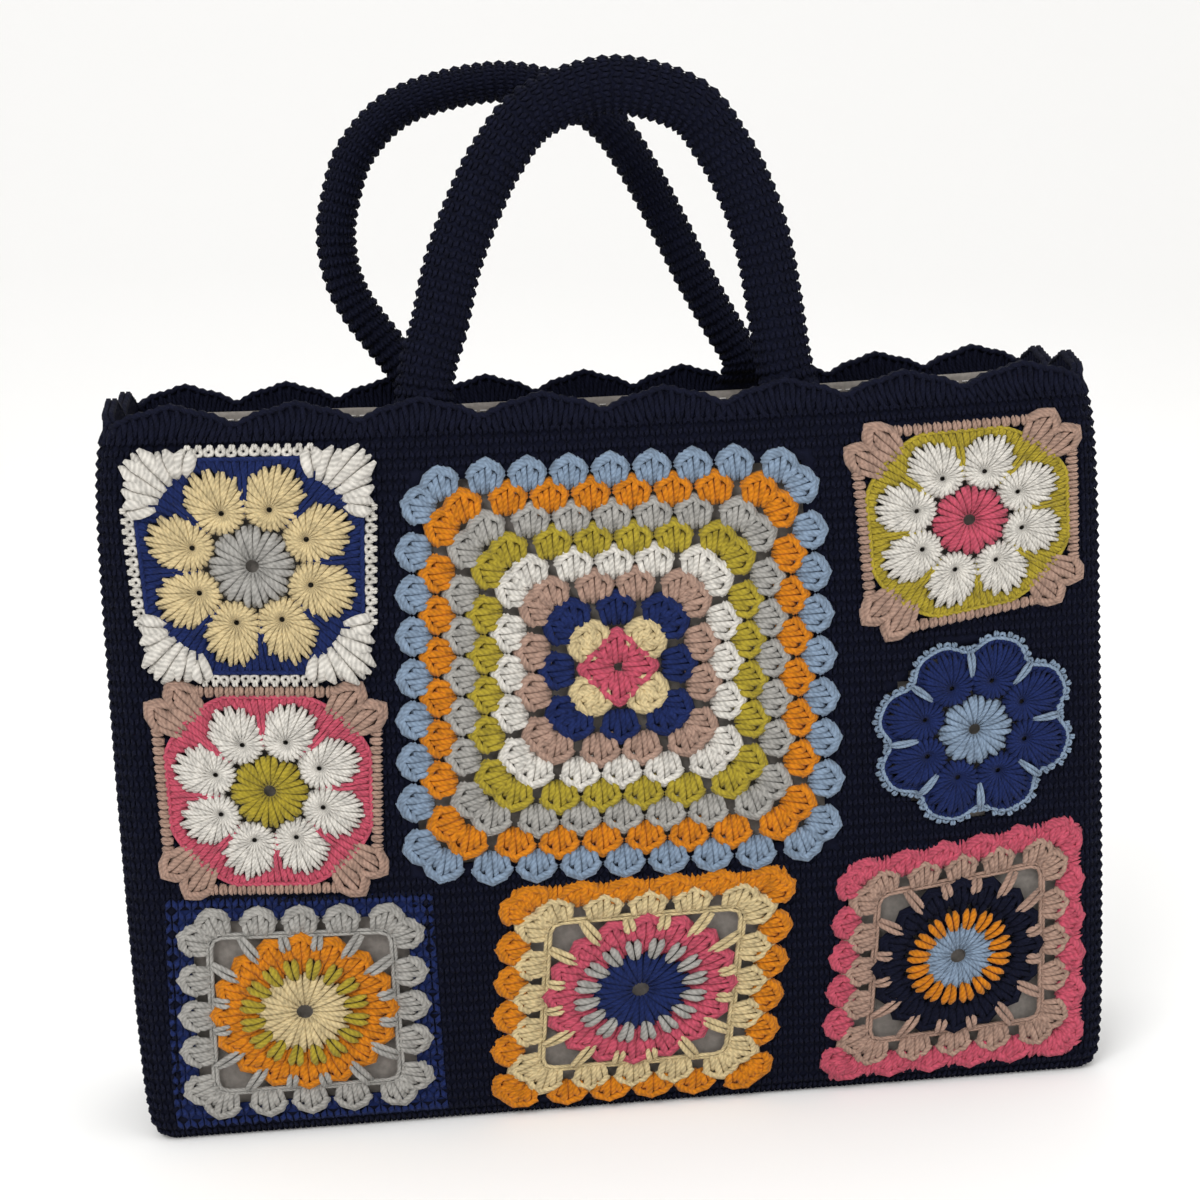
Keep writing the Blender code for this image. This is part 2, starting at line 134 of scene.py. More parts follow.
def strands(lines, radius, sides=5):
    """Yarn strands along rows of points: corners, then faces with the yarn's turn and run at each corner."""
    lines = np.asarray(lines, float)
    count, steps, _ = lines.shape
    ahead = np.gradient(lines, axis=1)
    ahead /= np.linalg.norm(ahead, axis=2, keepdims=True)
    across = np.cross(ahead, UPRIGHT)
    across /= np.linalg.norm(across, axis=2, keepdims=True)
    normal = np.cross(across, ahead)
    turn = 2 * np.pi * np.arange(sides) / sides
    ring = across[:, :, None] * np.cos(turn)[:, None] + normal[:, :, None] * np.sin(turn)[:, None]
    thick = np.broadcast_to(radius, (count, steps))[:, :, None, None]
    corners = lines[:, :, None] + ring * thick
    index = np.arange(count * steps * sides).reshape(count, steps, sides)
    after = np.roll(index, -1, axis=2)
    quads = np.stack([index[:, :-1], index[:, 1:], after[:, 1:], after[:, :-1]], axis=-1)
    steps_run = np.linalg.norm(np.diff(lines, axis=1), axis=2).cumsum(axis=1)
    run = np.concatenate([np.zeros((count, 1)), steps_run], axis=1)[:, :, None] + np.zeros(sides)
    around = np.zeros((count, steps, 1)) + np.arange(sides) / sides
    here = np.stack([around, run], axis=-1)
    beside = np.stack([around + 1 / sides, run], axis=-1)
    spots = np.stack([here[:, :-1], here[:, 1:], beside[:, 1:], beside[:, :-1]], axis=-2)
    caps = np.concatenate([index[:, 0], index[:, -1, ::-1]])
    cap_spots = np.concatenate([here[:, 0], here[:, -1, ::-1]])
    return corners.reshape(-1, 3), [(quads.reshape(-1, 4), spots.reshape(-1, 4, 2)), (caps, cap_spots)]


def posts(feet, heads, width, rise=0.0014, taper=0.75, twist=0.5, tip=0.70, thin=1.0):
    """Tall stitches, each a pair of strands side by side that wind a little from its foot to its head."""
    t = np.linspace(0, 1, 5)[None, :, None]
    line = feet[:, None] * (1 - t) + heads[:, None] * t
    line = line + np.array([0, 0, 1.0]) * rise * np.sin(np.pi * t)
    ahead = (heads - feet) / np.linalg.norm(heads - feet, axis=1, keepdims=True)
    side = np.cross(ahead, UPRIGHT)[:, None]
    angle = np.pi * twist * (t - 0.5)
    narrowing = np.array([1.0, 1.0, 1.0, 1.0, 0.4 + 0.6 * min(tip / 0.7, 1)])
    spread = (taper + (1 - taper) * t) * narrowing[None, :, None]
    swing = (side * np.cos(angle) + np.array([0, 0, 0.8]) * np.sin(angle)) * spread * width / 4
    thick = width * 0.275 * thin * spread[..., 0] * np.array([0.8, 1.0, 1.06, 1.02, tip])
    return strands(np.concatenate([line + swing, line - swing]), thick)


def fans(feet, outward, height, foot, head, width, count=3, low=0.0, loops=True, tip=0.7):
    """Clusters of tall stitches, narrow at the foot and wide at the head, under their row of loops."""
    side = np.column_stack([-outward[:, 1], outward[:, 0]])
    level = np.full(len(feet), low)
    starts = []
    ends = []
    for share in np.linspace(-1, 1, count):
        start = feet + side * foot * share
        end = feet + outward * height * (0.97 - 0.30 * share**2) + side * head * share
        starts.append(np.column_stack([start, level - 0.0006]))
        ends.append(np.column_stack([end, level + 0.0004]))
    batches = [posts(np.concatenate(starts), np.concatenate(ends), width, tip=tip)]
    if loops:
        t = np.linspace(-1, 1, 2 * count + 1)[None, :, None]
        hump = 0.5 + 0.5 * np.cos(np.pi * count * (t + 1))
        reach = head + width * 0.36
        for outer, lift, thick in ((0.98, 0.0016, 0.26), (1.09, 0.0002, 0.25)):
            rise = outward[:, None] * height * (outer - 0.42 * t**2)
            line = feet[:, None] + rise + side[:, None] * reach * t
            line = line - outward[:, None] * hump * width * 0.12
            up = low + lift * (1 - 0.35 * hump) + np.zeros((len(feet), 1, 1))
            batches.append(strands(np.concatenate([line, up], axis=2), width * thick))
    return batches


def yarn(name, colour, shade=0.62, twist=420.0, sheen=0.08):
    """Cotton yarn: its plies wind round each strand, with a soft, hairy surface, slightly uneven dye, and
    painted shade that darkens the grooves between the plies and lightens their crests.
    """
    material = bpy.data.materials.new(name)
    material.use_nodes = True
    nodes = material.node_tree.nodes
    links = material.node_tree.links
    shader = nodes["Principled BSDF"]
    shader.inputs["Roughness"].default_value = 0.92
    shader.inputs["Specular IOR Level"].default_value = 0.12
    shader.inputs["Sheen Weight"].default_value = sheen
    shader.inputs["Sheen Roughness"].default_value = 0.6
    place = nodes.new("ShaderNodeTexCoord")
    parts = nodes.new("ShaderNodeSeparateXYZ")
    links.new(place.outputs["UV"], parts.inputs[0])
    along = nodes.new("ShaderNodeMath")
    along.operation = "MULTIPLY"
    along.inputs[1].default_value = twist * 2 * math.pi
    links.new(parts.outputs["Y"], along.inputs[0])
    wound = nodes.new("ShaderNodeMath")
    wound.operation = "MULTIPLY_ADD"
    wound.inputs[1].default_value = 3 * 2 * math.pi
    links.new(parts.outputs["X"], wound.inputs[0])
    links.new(along.outputs[0], wound.inputs[2])
    plies = nodes.new("ShaderNodeMath")
    plies.operation = "SINE"
    links.new(wound.outputs[0], plies.inputs[0])
    dye = nodes.new("ShaderNodeTexNoise")
    dye.inputs["Scale"].default_value = 260
    dye.inputs["Detail"].default_value = 4
    links.new(place.outputs["Object"], dye.inputs["Vector"])
    # painted shade: the plies' wave darkens the colour in the grooves between them and lightens it on their
    # crests, added to the uneven dye
    dye_and_ply_shade = nodes.new("ShaderNodeMath")
    dye_and_ply_shade.operation = "MULTIPLY_ADD"
    dye_and_ply_shade.inputs[1].default_value = 0.13
    links.new(plies.outputs[0], dye_and_ply_shade.inputs[0])
    links.new(dye.outputs["Fac"], dye_and_ply_shade.inputs[2])
    ramp = nodes.new("ShaderNodeValToRGB")
    ramp.color_ramp.elements[0].position = 0.25
    ramp.color_ramp.elements[0].color = (*[channel * shade for channel in colour], 1)
    ramp.color_ramp.elements[1].position = 0.72
    ramp.color_ramp.elements[1].color = (*[min(channel * 1.12, 1) for channel in colour], 1)
    links.new(dye_and_ply_shade.outputs[0], ramp.inputs[0])
    links.new(ramp.outputs[0], shader.inputs["Base Color"])
    hairs = nodes.new("ShaderNodeTexNoise")
    hairs.inputs["Scale"].default_value = 1900
    hairs.inputs["Detail"].default_value = 3
    links.new(place.outputs["Object"], hairs.inputs["Vector"])
    relief = nodes.new("ShaderNodeMath")
    relief.operation = "MULTIPLY_ADD"
    relief.inputs[1].default_value = 0.30
    links.new(plies.outputs[0], relief.inputs[0])
    links.new(hairs.outputs["Fac"], relief.inputs[2])
    bump = nodes.new("ShaderNodeBump")
    bump.inputs["Strength"].default_value = 0.55
    bump.inputs["Distance"].default_value = 0.0006
    links.new(relief.outputs[0], bump.inputs["Height"])
    links.new(bump.outputs[0], shader.inputs["Normal"])
    return material


def piece(name, material, batches, place):
    """One object from batches of strands, put in place on the bag, with its faces pointing outwards."""
    points = []
    faces = []
    spots = []
    first = 0
    for corners, groups in batches:
        points.append(corners)
        for index, spot in groups:
            faces.append(index + first)
            spots.append(spot)
        first += len(corners)
    corners = place(np.concatenate(points))
    volume = 0.0
    for index in faces:
        a = corners[index[:, 0]]
        for step in range(1, index.shape[1] - 1):
            b = corners[index[:, step]]
            c = corners[index[:, step + 1]]
            volume += np.einsum("ij,ij->", a, np.cross(b, c))
    if volume < 0:
        faces = [index[:, ::-1] for index in faces]
        spots = [spot[:, ::-1] for spot in spots]
    mesh = bpy.data.meshes.new(name)
    mesh.from_pydata(corners.tolist(), [], [row for index in faces for row in index.tolist()])
    layer = mesh.uv_layers.new(name="yarn")
    layer.data.foreach_set("uv", np.concatenate([spot.reshape(-1) for spot in spots]))
    mesh.shade_smooth()
    mesh.materials.append(material)
    item = bpy.data.objects.new(name, mesh)
    bpy.context.scene.collection.objects.link(item)
    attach(item, "root")
    return item


def in_square(outline, half):
    """Way to put a square's own plan, half a side from its middle to each edge, on the front wall."""
    corners = np.array(outline) * (BAG_WIDTH / 2, PANEL_UP)

    def place(points):
        right = (1 + points[:, :1] / half) / 2
        top = (1 + points[:, 1:2] / half) / 2
        upper = corners[0] * (1 - right) + corners[1] * right
        lower = corners[3] * (1 - right) + corners[2] * right
        flat = upper * top + lower * (1 - top)
        return on_wall("front", np.column_stack([flat, points[:, 2]]))

    return place


def turned_quarters(rows):
    """Places and directions on one side of a square, repeated on all four."""
    feet = []
    directions = []
    for quarter in range(4):
        cosine, sine = round(math.cos(quarter * math.pi / 2)), round(math.sin(quarter * math.pi / 2))
        turn = np.array([[cosine, -sine], [sine, cosine]])
        for aside, near, lean in rows:
            feet.append(turn @ np.array([aside, near]))
            directions.append(turn @ np.array([math.sin(lean), math.cos(lean)]))
    return np.array(feet), np.array(directions)


YARNS = {
    "navy": yarn("navy_yarn", (0.0040, 0.0050, 0.0150), sheen=0.0),
    "royal": yarn("royal_yarn", (0.0085, 0.0175, 0.0830), sheen=0.02),
    "sky": yarn("sky_yarn", (0.186, 0.251, 0.342)),
    "white": yarn("white_yarn", (0.570, 0.545, 0.500)),
    "cream": yarn("cream_yarn", (0.527, 0.421, 0.229)),
    "grey": yarn("grey_yarn", (0.310, 0.300, 0.280)),
    "tan": yarn("tan_yarn", (0.332, 0.215, 0.166)),
    "pink": yarn("pink_yarn", (0.442, 0.067, 0.109)),
    "orange": yarn("orange_yarn", (0.515, 0.168, 0.004)),
    "olive": yarn("olive_yarn", (0.325, 0.252, 0.022)),
}
SLOTS = {name: name + "_yarn" for name in YARNS}
SLOTS["olive"] = "orange_yarn"
GRANNY_OUTLINE = ((-0.398, 0.942), (0.411, 0.942), (0.436, 0.368), (-0.440, 0.373))
GRANNY_HALF = 0.0945
GRANNY_ROUNDS = ("pink", "cream", "royal", "tan", "white", "olive", "grey", "orange", "sky")
ROUND_STEP = GRANNY_HALF / len(GRANNY_ROUNDS)
CLUSTER_PITCH = 0.0205
CLUSTER_TALL = 0.0140
CLUSTER_FOOT = 0.0040
CLUSTER_HEAD = 0.0056
CLUSTER_YARN = 0.0067
CORNER_LEAN = 0.22
CORNER_TUCK = 0.0022
INNERMOST = 0.002

for round_number, colour in enumerate(GRANNY_ROUNDS, 1):
    away = (round_number - 1.12) * ROUND_STEP
    last = (round_number - 1) / 2 * CLUSTER_PITCH
    closer = max(0.90, (away - 0.0057) / last) if round_number > 2 else 1.0
    rows = []
    for number in range(round_number):
        aside = (number - (round_number - 1) / 2) * CLUSTER_PITCH * closer
        if round_number > 1 and number in (0, round_number - 1):
            rows.append((aside, max(away - CORNER_TUCK, INNERMOST), math.copysign(CORNER_LEAN, aside)))
        else:
            rows.append((aside, max(away, INNERMOST), 0.0))
    batches = fans(*turned_quarters(rows), CLUSTER_TALL, CLUSTER_FOOT, CLUSTER_HEAD, CLUSTER_YARN)
    item = piece(f"granny_round_{round_number}", YARNS[colour], batches,
                 in_square(GRANNY_OUTLINE, GRANNY_HALF))
    if round_number == 1:
        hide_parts("granny_centre")


# Four flower squares in cotton yarn: a ring of paired stitches, eight petals each worked into one hole, and
# a solid round behind them. Corner clusters and a beaded edging make three of them square.


def polar(radius, angle, level=0.0):
    """Points in a square's plan at distances and angles from its middle."""
    radius, angle, level = np.broadcast_arrays(radius, angle, level)
    return np.column_stack([radius * np.sin(angle), radius * np.cos(angle), level])


def to_square(angle):
    """How much farther a square's side lies than its inner circle, at each angle."""
    return 1 / np.maximum(np.abs(np.cos(angle)), np.abs(np.sin(angle)))


def rings(middles, radius, thick, level=0.001, steps=8):
    """Small closed loops of yarn round the given points."""
    turn = 2 * np.pi * np.arange(steps) / steps
    sides = 4
    tube = 2 * np.pi * np.arange(sides) / sides
    out = radius + thick * np.cos(tube)
    circle = np.stack([
        np.sin(turn)[:, None] * out,
        np.cos(turn)[:, None] * out,
        level + thick * np.sin(tube) + np.zeros((steps, 1)),
    ], axis=-1)
    shift = np.column_stack([middles, np.zeros(len(middles))])
    corners = circle[None] + shift[:, None, None]
    index = np.arange(len(middles) * steps * sides).reshape(len(middles), steps, sides)
    ahead = np.roll(index, -1, axis=1)
    quads = np.stack([index, np.roll(index, -1, axis=2), np.roll(ahead, -1, axis=2), ahead], axis=-1)
    run = turn * radius
    spots = np.zeros((*quads.shape, 2))
    spots[..., 0] = (np.arange(sides) / sides)[None, None, :, None]
    spots[..., 1] = run[None, :, None, None]
    return corners.reshape(-1, 3), [(quads.reshape(-1, 4), spots.reshape(-1, 4, 2))]


# name, outline as in the granny square, then the yarns of centre, petals, surround, corners and edging
FLOWERS = (
    ("flower_left_top", ((-0.953, 0.984), (-0.456, 0.980), (-0.481, 0.655), (-0.926, 0.670)),
     "grey", "cream", "royal", "white"),
    ("flower_left_middle", ((-0.921, 0.663), (-0.472, 0.647), (-0.493, 0.364), (-0.915, 0.375)),
     "olive", "white", "pink", "tan"),
    ("flower_right_top", ((0.488, 0.963), (0.948, 0.967), (0.944, 0.715), (0.511, 0.673)),
     "pink", "white", "olive", "tan"),
    ("flower_right_middle", ((0.511, 0.661), (0.943, 0.684), (0.939, 0.400), (0.497, 0.393)),
     "sky", "royal", "sky", "navy"),
)
FLOWER_HALF = 0.0520
PETAL_COUNT = 8
PETAL_HOLE = 0.0262
PETAL_MIDDLE = 0.0318
PETAL_LONG = 0.0150
PETAL_WIDE = 0.0130
PETAL_STRANDS = 20
CENTRE_REACH = 0.0180
ROUND_STITCHES = 88
EDGE = FLOWER_HALF - 0.0018
EDGE_BEADS = 22
random.seed(7)

for name, outline, centre, petals, surround, corner in FLOWERS:
    place = in_square(outline, FLOWER_HALF)
    headings = 2 * np.pi * (np.arange(PETAL_COUNT) + 0.42) / PETAL_COUNT
    between = headings + np.pi / PETAL_COUNT
    feet = np.concatenate([polar(0.0030, between + turn, 0.0004) for turn in (-0.20, 0.20)])
    heads = np.concatenate([polar(CENTRE_REACH, between + turn, 0.0012) for turn in (-0.155, 0.155)])
    batches = [posts(feet, heads, 0.0078, taper=0.34, tip=0.62, rise=0.0022)]
    item = piece(name + "_centre", YARNS[centre], batches, place)
    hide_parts(name)
    starts = []
    ends = []
    ahead_of_hole = PETAL_HOLE - PETAL_MIDDLE
    for heading in headings:
        forward = np.array([math.sin(heading), math.cos(heading)])
        aside = np.array([forward[1], -forward[0]])
        hole = forward * PETAL_HOLE
        for number in range(PETAL_STRANDS):
            spread = 2 * math.pi * (number + 0.5) / PETAL_STRANDS
            a = (math.cos(spread) / PETAL_LONG) ** 2 + (math.sin(spread) / PETAL_WIDE) ** 2
            b = 2 * ahead_of_hole * math.cos(spread) / PETAL_LONG**2
            c = (ahead_of_hole / PETAL_LONG) ** 2 - 1
            reach = (math.sqrt(b * b - 4 * a * c) - b) / (2 * a) * random.uniform(0.96, 1.04)
            direction = forward * math.cos(spread) + aside * math.sin(spread)
            starts.append([*(hole + direction * 0.0013), 0.0013])
            ends.append([*(hole + direction * reach), 0.0010])
    batches = [posts(np.array(starts), np.array(ends), 0.0063, rise=0.0020, taper=0.30, tip=0.56)]
    angle = 2 * np.pi * np.arange(ROUND_STITCHES) / ROUND_STITCHES
    valley = 0.5 + 0.5 * np.cos(PETAL_COUNT * (angle - between[0]))
    inner = 0.0452 - 0.0105 * valley**1.5
    size = {"royal": (0.0476, 0.0525), "sky": (0.0700, 0.0488)}.get(surround, (0.0480, 0.0515))
    outer = np.minimum(size[0] * to_square(angle), size[1])
    if surround == "sky":
        outer = outer - 0.0070 * valley**2
        batches.append(posts(polar(inner, angle, -0.0006), polar(outer, angle, 0.0), 0.0046, taper=0.85))
    piece(name + "_petals", YARNS[petals], batches, place)
    drop_foot, drop_level = (0.0285, 0.0030) if surround == "sky" else (0.0215, 0.0014)
    batches = [posts(polar(drop_foot, between, drop_level), polar(0.0425, between, drop_level), 0.0046,
                     taper=0.6, tip=0.5)]
    line = polar(outer - 0.0004, angle, 0.0012)
    batches.append(strands(np.concatenate([line, line[:1]])[None], 0.0012))
    if surround == "sky":
        beads = polar(outer + 0.0006, angle)[::2, :2]
        batches.append(rings(beads, 0.0014, 0.00095))
        near = polar(outer + 0.0008, angle, 0.0008)[1::2]
        far = polar(outer + 0.0034, angle, 0.0006)[1::2]
        batches.append(posts(near, far, 0.0026, taper=1.0, tip=0.4))
    else:
        batches.append(posts(polar(inner, angle, -0.0006), polar(outer, angle, 0.0002), 0.0046, taper=0.85))
    piece(name + "_surround", YARNS[surround], batches, place)
    if corner == "navy":
        continue
    diagonals = np.pi / 4 + np.arange(4) * np.pi / 2
    batches = []
    if corner == "white":
        starts = []
        ends = []
        for diagonal in diagonals:
            point = np.sign([math.sin(diagonal), math.cos(diagonal)]) * (EDGE + 0.0012)
            for spread in np.linspace(-1, 1, 6):
                back_off = 0.0260 * abs(spread)
                end = point - np.sign(point) * ((back_off, 0) if spread < 0 else (0, back_off))
                heading = 0.55 * math.atan2(end[0], end[1]) + 0.45 * math.atan2(point[0], point[1])
                start = polar(0.0480, heading)[0]
                starts.append([start[0], start[1], 0.0])
                ends.append([end[0], end[1], 0.0012])
        batches.append(posts(np.array(starts), np.array(ends), 0.0112, taper=0.70, tip=0.42, rise=0.0022))
    else:
        for spread in (-0.105, 0.105):
            directions = polar(1.0, diagonals + spread * 1.1)[:, :2]
            feet = polar(0.0475, diagonals + spread)[:, :2]
            batches += fans(feet, directions, 0.0200, 0.0022, 0.0048, 0.0072, count=3, tip=0.6, low=0.0004)
    walk = ((np.arange(EDGE_BEADS) + 0.5) / EDGE_BEADS * 2 - 1) * EDGE
    walk = walk[np.abs(walk) < EDGE - (0.0240 if corner == "white" else 0.0165)]
    side = np.full(len(walk), EDGE)
    beads = np.concatenate([
        np.column_stack([walk, side]), np.column_stack([side, -walk]),
        np.column_stack([-walk, -side]), np.column_stack([-side, walk]),
    ])
    on_edge = np.abs(np.abs(beads) - EDGE) < 1e-9
    if corner == "white":
        jitter = np.array([[random.uniform(-0.0004, 0.0004) for _ in range(2)] for _ in beads])
        batches.append(rings(beads + jitter, 0.0016, 0.00105))
        near, far, wide, tip = 1.02, 1.07, 0.0026, 0.3
    else:
        batches.append(rings(beads * np.where(on_edge, 0.985, 1.0), 0.0013, 0.0010))
        near, far, wide, tip = 0.95, 1.06, 0.0042, 0.4
    level = np.full((len(beads), 1), 0.0006)
    starts = np.hstack([beads * np.where(on_edge, near, 1.0), level])
    ends = np.hstack([beads * np.where(on_edge, far, 1.0), level])
    batches.append(posts(starts, ends, wide, taper=1.0, tip=tip))
    piece(name + "_edging", YARNS[corner], batches, place)


# Three sunburst squares in cotton yarn: sixteen petals round a hole, a round of spikes, sixteen clusters,
# then a chain with long V stitches back into the ring, which leaves the corners open, and two square rounds.
# name, outline, then the yarns from the middle outwards
SUNBURSTS = (
    ("sunburst_left", ((-0.920, 0.362), (-0.397, 0.351), (-0.394, 0.033), (-0.940, 0.032)),
     "cream", "olive", "orange", "grey", "royal"),
    ("sunburst_middle", ((-0.242, 0.346), (0.335, 0.351), (0.268, 0.036), (-0.285, 0.033)),
     "royal", "grey", "pink", "cream", "orange"),
    ("sunburst_right", ((0.446, 0.347), (0.938, 0.390), (0.939, 0.050), (0.402, 0.035)),
     "sky", "orange", "navy", "tan", "pink"),
)
SUNBURST_HALF = 0.0570
BURST_COUNT = 16
RING_FOOT = 0.0256
CHAIN_EDGE = 0.0388
CHAIN_CORNER = 0.0530
CHAIN_YARN = 0.00095
V_TIP = 0.0320
BORDER_EDGE = SUNBURST_HALF + 0.0012
BORDER_INNER = 0.0440
# quarters of the outer round that are worked solid: 0 top, 1 left, 2 bottom, 3 right
SOLID_QUARTERS = {"sunburst_middle": (0,), "sunburst_right": (0, 2, 3)}
STITCH_WIDE = 0.0050
STITCH_TALL = 0.0049
BACK_LAYER = (-0.0010, -0.0026)


def spindles(starts, ends, wide, thick, sides=5):
    """Short plump strands, pointed at both ends."""
    middle = (starts + ends) / 2
    ahead = ends - starts
    ahead = ahead / np.linalg.norm(ahead, axis=1, keepdims=True)
    across = np.cross(ahead, UPRIGHT)
    across /= np.linalg.norm(across, axis=1, keepdims=True)
    normal = np.cross(across, ahead)
    turn = 2 * np.pi * np.arange(sides) / sides
    sideways = across[:, None] * wide * np.cos(turn)[:, None]
    ring = middle[:, None] + sideways + normal[:, None] * thick * np.sin(turn)[:, None]
    corners = np.concatenate([starts[:, None], ends[:, None], ring], axis=1)
    base = (np.arange(len(starts)) * (sides + 2))[:, None]
    here = base + 2 + np.arange(sides)
    beside = base + 2 + (np.arange(sides) + 1) % sides
    low = np.stack([base + np.zeros(sides, int), here, beside], axis=-1)
    high = np.stack([here, base + 1 + np.zeros(sides, int), beside], axis=-1)
    faces = np.concatenate([low.reshape(-1, 3), high.reshape(-1, 3)])
    low_spots = np.zeros((len(starts), sides, 3, 2))
    low_spots[..., 0, 0] = (np.arange(sides) + 0.5) / sides
    low_spots[..., 1, 0] = np.arange(sides) / sides
    low_spots[..., 2, 0] = (np.arange(sides) + 1) / sides
    length = np.linalg.norm(ends - starts, axis=1)[:, None]
    low_spots[..., 1, 1] = length / 2
    low_spots[..., 2, 1] = length / 2
    high_spots = low_spots[..., [1, 0, 2], :].copy()
    high_spots[..., 1, 1] = length
    spots = np.concatenate([low_spots.reshape(-1, 3, 2), high_spots.reshape(-1, 3, 2)])
    return corners.reshape(-1, 3), [(faces, spots)]


def stitch_rows(places, odd, wide=STITCH_WIDE, tall=STITCH_TALL, lift=0.0):
    """Short stitches: two lobes that lean together, the other way up in every other row."""
    lobes = []
    tips = []
    for side in (-1, 1):
        upper = places + np.column_stack([np.full(len(places), side * wide * 0.44), odd * tall * 0.50])
        lower = places + np.column_stack([np.full(len(places), side * wide * 0.07), -odd * tall * 0.52])
        lobes.append(np.column_stack([upper, np.full(len(places), lift)]))
        tips.append(np.column_stack([lower, np.full(len(places), lift - 0.0003)]))
    return spindles(np.concatenate(lobes), np.concatenate(tips), wide * 0.25, 0.00135)


def layer(rows_outer, rows_inner, keep):
    """Closed double skin over a grid of points, only where the grid's cells are kept."""
    high, wide, _ = rows_outer.shape
    corners = np.concatenate([rows_outer.reshape(-1, 3), rows_inner.reshape(-1, 3)])
    index = np.arange(high * wide).reshape(high, wide)
    inner = index + high * wide
    cells = np.stack([index[:-1, :-1], index[:-1, 1:], index[1:, 1:], index[1:, :-1]], axis=-1)
    below = np.stack([inner[:-1, :-1], inner[1:, :-1], inner[1:, 1:], inner[:-1, 1:]], axis=-1)
    groups = [cells[keep], below[keep]]
    walls = []
    padded = np.pad(keep, 1)
    for row, column in np.argwhere(keep):
        a, b, c, d = cells[row, column]
        for near, far, shift in ((a, b, (0, 1)), (b, c, (1, 2)), (c, d, (2, 1)), (d, a, (1, 0))):
            if not padded[row + shift[0], column + shift[1]]:
                walls.append((far, near, near + high * wide, far + high * wide))
    if walls:
        groups.append(np.array(walls))
    faces = np.concatenate(groups)
    used, flat = np.unique(faces, return_inverse=True)
    faces = flat.reshape(faces.shape)
    corners = corners[used]
    spots = np.zeros((*faces.shape, 2))
    return corners, [(faces, spots)]


for name, outline, centre, spikes, clusters, square, outer in SUNBURSTS:
    place = in_square(outline, SUNBURST_HALF)
    angle = 2 * np.pi * np.arange(BURST_COUNT) / BURST_COUNT
    half = np.pi / BURST_COUNT
    middle_reach = 0.0172 if name == "sunburst_right" else 0.0205
    feet = polar(0.0036, angle, 0.0006)
    heads = polar(middle_reach, angle, 0.0014)
    batches = [posts(feet, heads, middle_reach * 0.37, taper=0.38, tip=0.40)]
    item = piece(name + "_centre", YARNS[centre], batches, place)
    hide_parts(name)
    feet = polar(middle_reach - 0.0035, angle + half, 0.0022)
    heads = polar(middle_reach + 0.0072, angle + half, 0.0022)
    batches = [posts(feet, heads, 0.0082, taper=0.50, tip=0.5, thin=0.90, twist=0.0, rise=0.0014)]
    piece(name + "_spikes", YARNS[spikes], batches, place)
    directions = polar(1.0, angle)[:, :2]
    batches = fans(directions * RING_FOOT, directions, 0.0128, 0.0028, 0.0046, 0.0062, low=0.0008)
    feet = polar(middle_reach - 0.002, angle, -0.0006)
    batches.append(posts(feet, polar(0.0285, angle, -0.0004), 0.0080, taper=0.66))
    piece(name + "_clusters", YARNS[clusters], batches, place)
    rows = [(aside, CHAIN_EDGE - 0.0002, lean) for aside, lean in (
        (-0.0355, -0.30), (-0.0180, 0.0), (0.0, 0.0), (0.0180, 0.0), (0.0355, 0.30))]
    batches = fans(*turned_quarters(rows), 0.0134, 0.0036, 0.0050, 0.0062)
    turn = 2 * np.pi * (np.arange(97) % 96) / 96
    for shift, level in ((0.0, 0.0007), (0.0016, 0.0003)):
        radius = np.minimum((CHAIN_EDGE + shift) * to_square(turn), CHAIN_CORNER + shift)
        batches.append(strands(polar(radius, turn, level)[None], CHAIN_YARN))
    turn = angle + half
    feet = polar(CHAIN_EDGE * to_square(turn), turn, 0.0016)
    batches.append(posts(feet, polar(V_TIP, turn, 0.0026), 0.0056, taper=1.0, tip=0.5, thin=0.85))
    piece(name + "_square", YARNS[square], batches, place)
    if name not in SOLID_QUARTERS:
        steps = round(2 * BORDER_EDGE / 0.0058)
        line = (np.arange(steps) + 0.5) / steps * 2 * BORDER_EDGE - BORDER_EDGE
        across, up = np.meshgrid(line, line)
        border = np.maximum(np.abs(across), np.abs(up)) > BORDER_INNER
        odd = np.where(np.arange(steps) % 2, -1.0, 1.0)[:, None] + np.zeros(steps)
        middles = np.column_stack([across[border], up[border]])
        batches = [stitch_rows(middles, odd[border], 0.0059, 0.0059)]
        line = np.linspace(-BORDER_EDGE, BORDER_EDGE, steps + 1)
        across, up = np.meshgrid(line, line)
        skins = [np.stack([across, up, np.full(across.shape, out)], axis=-1) for out in BACK_LAYER]
        batches.append(layer(skins[0], skins[1], border))
    else:
        rows = [(aside, CHAIN_EDGE + 0.0080, lean) for aside, lean in (
            (-0.0455, -0.42), (-0.0275, 0.0), (-0.0092, 0.0), (0.0092, 0.0), (0.0275, 0.0), (0.0455, 0.42))]
        batches = fans(*turned_quarters(rows), 0.0120, 0.0030, 0.0056, 0.0066, low=-0.0002)
        packed = [(aside, CHAIN_EDGE + 0.0095, 0.0) for aside in np.arange(-13, 14) * 0.0041]
        feet, directions = turned_quarters(packed)
        solid = np.isin(np.arange(4), SOLID_QUARTERS[name]).repeat(len(packed))
        level = np.full((int(solid.sum()), 1), -0.0004)
        heads = np.hstack([feet[solid] + directions[solid] * 0.0112, level])
        batches.append(posts(np.hstack([feet[solid], level]), heads, 0.0046, taper=1.0, tip=0.35))
    piece(name + "_outer", YARNS[outer], batches, place)


# Walls of the bag: rows of short stitches in navy cotton yarn, worked round the squares on the front and
# plain on the back, the two ends and the bottom. A closer layer behind the stitches holds them together.
def inside(outline, points):
    """Which points lie in an outline."""
    hit = np.zeros(len(points), bool)
    for index, end in enumerate(outline):
        start = outline[index - 1]
        if start[1] == end[1]:
            continue
        spans = (start[1] > points[:, 1]) != (end[1] > points[:, 1])
        cross = start[0] + (points[:, 1] - start[1]) / (end[1] - start[1]) * (end[0] - start[0])
        hit ^= spans & (points[:, 0] < cross)
    return hit


